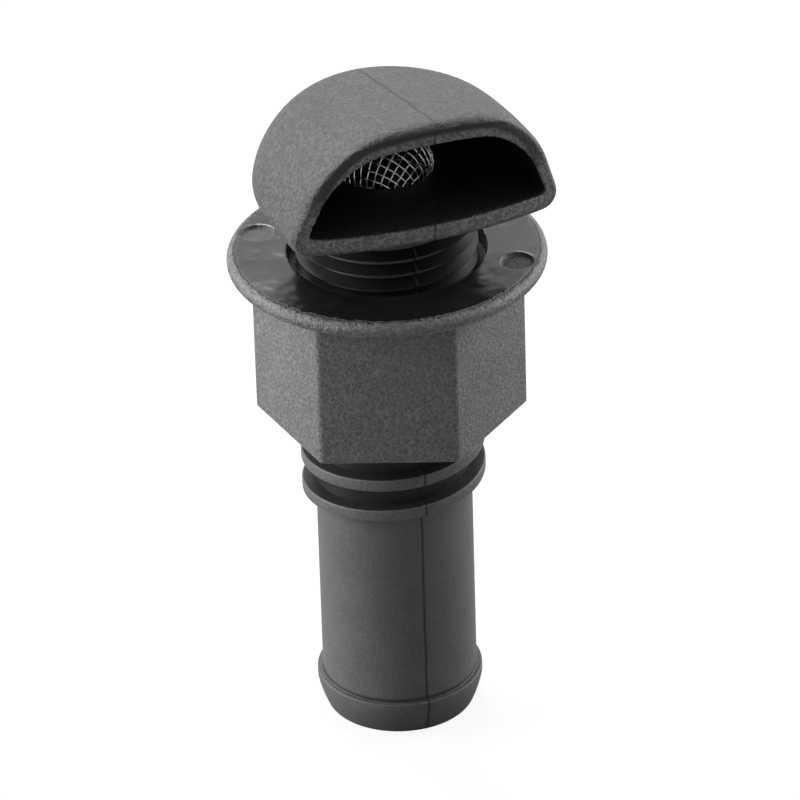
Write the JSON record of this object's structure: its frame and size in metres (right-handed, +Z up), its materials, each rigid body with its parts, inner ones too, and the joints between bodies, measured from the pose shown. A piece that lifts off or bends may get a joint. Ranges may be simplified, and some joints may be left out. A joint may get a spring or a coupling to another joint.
{
  "type": "fuel tank vent",
  "caption": "Through-hull fuel tank vent: scoop hood over a woven screen, threaded shank with backing nut and washer, and a barbed hose tail.",
  "frame": {"origin": "centre of the hose tail's open end, on the axis of the airway", "axes": "+Z up the airway's axis from the hose tail to the hood, -Y the way the hood's mouth faces"},
  "size_m": [0.0374, 0.0374, 0.0875],
  "materials": {
    "shank_plastic": "black moulded nylon with a fine spark-eroded grain, smoother on the thread",
    "hood_plastic": "charcoal black moulded nylon with a fine spark-eroded grain",
    "nut_plastic": "black moulded nylon with a fine spark-eroded grain",
    "washer_plastic": "black moulded nylon, smooth and glossy on top, grained round the rim",
    "screen_wire": "bright drawn stainless steel wire"
  },
  "bodies": {
    "body": {"tail_body": "shank_plastic", "hood": "hood_plastic", "screen_warp": "screen_wire", "screen_weft": "screen_wire"},
    "washer": {"flange_washer": "washer_plastic"},
    "nut": {"hex_nut": "nut_plastic"}
  },
  "joints": [
    {"name": "washer_slide", "type": "slide", "parent": "body", "child": "washer", "axis": [0, 0, 1], "range_m": [-0.01089, 0.00847]},
    {"name": "nut_turn", "type": "hinge", "parent": "washer", "child": "nut", "pos_m": [0, 0, 0.05], "axis": [0, 0, 1], "range_deg": [-2160, 1680]}
  ],
  "couplings": [
    {"joint": "washer_slide", "follows": "nut_turn", "m_per_rad": 0.00028876}
  ]
}
